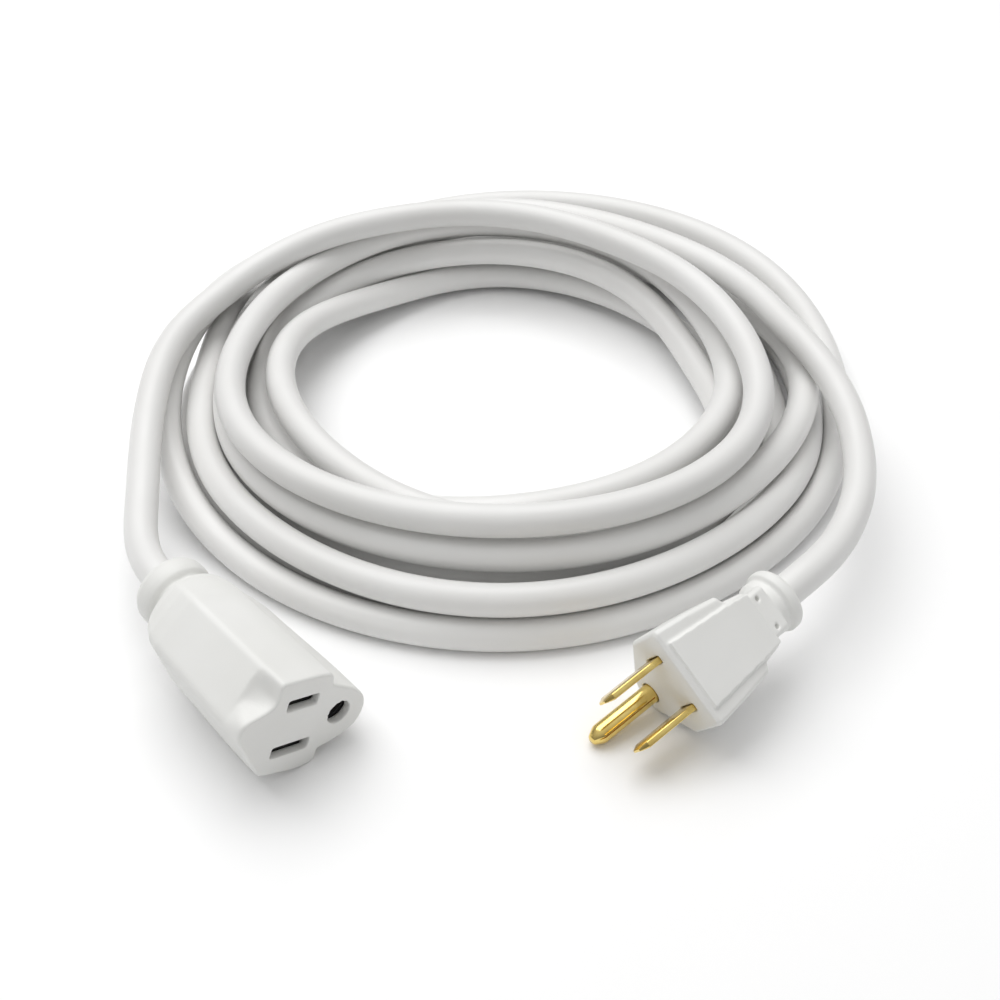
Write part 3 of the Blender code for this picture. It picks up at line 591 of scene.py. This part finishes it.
def ground_pin(name, z, mats):
    """Rolled ground pin: coned tip and a seam along the side that faces the blades."""
    ob = add_object(name, turned([
        (PIN_LEN, 0.8), (PIN_LEN - 0.3, 1.25), (PIN_LEN - 2.2, PIN_R - 0.12), (PIN_LEN - 2.7, PIN_R),
        (-0.3, PIN_R), (-0.6, PIN_R - 0.3), (-9.2, PIN_R - 0.3), (-9.9, 1.3), (-11.4, 1.3)], z), mats["brass"], 35)
    seam = box(0.6, PIN_LEN + 1, -0.16, 0.16, -3.0, -1.7)
    bmesh.ops.rotate(seam, verts=seam.verts, cent=(0, 0, 0), matrix=Matrix.Rotation(math.radians(-28), 3, "X"))
    bmesh.ops.translate(seam, verts=seam.verts, vec=(0, 0, z))
    boolean(ob, seam, "DIFFERENCE")
    crimp(ob, 0.0, z)
    return ob


# ---------------------------------------------------------------- connector
FACE_OUTLINE = [
    (-13.1, -7.4), (-12.9, 3.0), (-12.0, 7.2), (-9.0, 7.6), (-5.6, 15.6), (-1.6, 19.8), (4.6, 19.6), (8.0, 14.4),
    (9.4, 8.6), (12.9, 8.9), (13.8, 4.0), (12.2, -6.9), (-0.6, -15.9), (-4.6, -15.4), (-6.6, -9.0), (-8.2, -7.4)]
FACE_ROUNDING = [1.2, 3.0, 2.0, 0.6, 4.0, 5.0, 4.0, 4.0, 0.6, 1.8, 4.0, 0.9, 3.0, 2.5, 2.0, 1.2]
FLUTE = {13: (0.0, (-4.4, -13.3)), 14: (1.0, (-7.4, -11.3)), 15: (1.5, (-10.2, -9.4))}


def connector_outline(x):
    """Outline at x: lobes at the face, the flute filled to a flat behind it; connector_section rounds it toward the
    tail.
    """
    points = []
    for i, (y, z) in enumerate(FACE_OUTLINE):
        if i in FLUTE:
            start, (fy, fz) = FLUTE[i]
            t = np.clip((-x - start) / 6.0, 0, 1) ** 2
            y, z = y + (fy - y) * t, z + (fz - z) * t
        points.append((y, z))
    return round_corners(points, FACE_ROUNDING)


def connector_section(x, toward_round, radius, scale=1.0):
    made = []
    for y, z in connector_outline(x):
        a = math.atan2(z - AXIS_Z, y)
        ry, rz = radius * math.cos(a), AXIS_Z + radius * math.sin(a)
        made.append((y * scale + (ry - y * scale) * toward_round, z * scale + (rz - z * scale) * toward_round))
    return (x, made)


def connector_shell():
    made = [connector_section(x, 0.0, 10.0, k) for x, k in (
        (0.0, 0.975), (-0.5, 1.0), (-1.5, 1.0), (-2.5, 1.0), (-3.5, 1.0), (-4.3, 1.0), (-5, 1.0), (-5.6, 1.0),
        (-6.2, 1.0), (-7, 1.0), (-7.5, 1.0), (-9, 1.0), (-16, 0.985), (-26, 0.955))]
    made += [connector_section(x, t, r, 0.955) for x, t, r in (
        (-34.0, 0.06, 10.0), (-38.0, 0.2, 9.8), (-42.0, 0.5, 9.4), (-44.6, 0.76, 8.9), (-46.4, 1.0, 7.6),
        (-48.5, 1.0, 7.6))]
    return loft(made)


CONNECTOR_COLLAR = [(-54.2, 7.2), (-53.8, 8.3), (-52.4, 9.0), (-49.8, 9.1), (-48.4, 8.8), (-47.7, 8.1), (-47.4, 7.4)]


def mouth(role, y, z, thick, x0, x1):
    if role == "ground":
        return turned([(x0, thick), (x1, thick)], z, y)
    half = 5.2 if role == "neutral" else 4.2
    return box(x0, x1, y - thick / 2, y + thick / 2, z - half, z + half)


def build_connector(mats):
    pose = end_pose(*CONNECTOR_POSE)
    shell = add_object("connector_body", connector_shell(), mats["overmould"])
    boolean(shell, turned(CONNECTOR_COLLAR, AXIS_Z), "UNION")
    boolean(shell, box(-25.5, -2.2, -10.5, 10.5, -5.3, 5.3), "DIFFERENCE")
    boolean(shell, box(-25.5, -2.2, -4.3, 4.3, 5.0, 11.0), "DIFFERENCE")
    boolean(shell, turned([(-25.5, 4.7), (-2.2, 4.7)], GROUND_Z), "DIFFERENCE")
    boolean(shell, turned([(-64.0, CORD_R + 0.05), (-40.0, CORD_R + 0.05)], AXIS_Z), "DIFFERENCE")
    boolean(shell, turned([(-41.0, 5.0), (-38.0, 6.5), (-25.0, 7.5)], AXIS_Z + 1.0), "DIFFERENCE")
    for role, y, z in places(-1.0):
        boolean(shell, mouth(role, y, z, 3.0, -3.0, 2.0), "DIFFERENCE")
    soften(shell, 0.33, 2)
    settle(shell, pose, "connector", "overmould", "connector_overmould")


# ---------------------------------------------------------------- carried-over nodes, stage
def finish_nodes(mats):
    """Fine materials for the nodes shown as they are."""
    # The bridge and insert take the near-black nylon, which paints shade into the depths of the slots and vents.
    kinds = (("strand", "copper"), ("contact", "brass"), ("blade", "brass"), ("pin", "brass"),
             ("bridge", "carrier"), ("insert", "carrier"), ("conductor_line", "line"),
             ("conductor_neutral", "neutral"), ("conductor_ground", "ground"), ("overmould", "overmould"),
             ("jacket", "jacket"))
    for name, node in frame["nodes"].items():
        kind = next(k for word, k in kinds if word in name)
        node.data.materials.clear()
        node.data.materials.append(mats[kind])


def area_light(name, place, aim, size, power):
    data = bpy.data.lights.new(name, "AREA")
    data.shape = "RECTANGLE"
    data.size, data.size_y = size
    data.energy = power
    ob = bpy.data.objects.new(name, data)
    bpy.context.scene.collection.objects.link(ob)
    ob.location = place
    ob.rotation_euler = (Vector(aim) - Vector(place)).to_track_quat("-Z", "Y").to_euler()
    return ob


def sky_gradient(tree):
    """Studio surround: dim at the horizon, bright overhead."""
    coords = tree.nodes.new("ShaderNodeTexCoord")
    split = tree.nodes.new("ShaderNodeSeparateXYZ")
    tree.links.new(coords.outputs["Generated"], split.inputs["Vector"])
    tone = remap(tree, split.outputs["Z"], 0.12, 0.75, 0.0, 0.9)
    back = tree.nodes["Background"]
    back.inputs["Color"].default_value = (1.0, 1.0, 1.0, 1.0)
    tree.links.new(tone, back.inputs["Strength"])


def build_stage():
    mat, tree, bsdf = new_material("floor_paper")
    tone = remap(tree, noise(tree, 3.0, 2.0), 0.0, 1.0)
    tree.links.new(blend_colour(tree, tone, (0.97, 0.97, 0.97), (0.955, 0.955, 0.955)), bsdf.inputs["Base Color"])
    bsdf.inputs["Roughness"].default_value = 0.9
    bm = bmesh.new()
    bmesh.ops.create_grid(bm, x_segments=8, y_segments=8, size=3000.0)
    floor = add_object("floor", bm, mat, recalc=False)
    world = bpy.data.worlds.new("studio")
    world.use_nodes = True
    sky_gradient(world.node_tree)
    scene = bpy.context.scene
    scene.world = world
    area_light("key", (-0.25, 0.3, 1.0), (0.0, 0.0, 0.0), (1.2, 1.0), 8.7)
    scene.view_settings.view_transform = "Standard"
    data = bpy.data.cameras.new("camera")
    data.sensor_width = 36.0
    data.lens = 52.2
    data.clip_start = 0.01
    data.clip_end = 50.0
    camera = bpy.data.objects.new("camera", data)
    scene.collection.objects.link(camera)
    camera.location = Vector(np.array((1.4, -357.0, 248.7)) + SHIFT) * MM
    camera.rotation_euler = (math.radians(90 - 39), 0.0, 0.0)
    scene.camera = camera


def build():
    mats = make_materials()
    finish_nodes(mats)
    build_cord(mats)
    build_plug(mats)
    build_connector(mats)
    build_stage()


build()
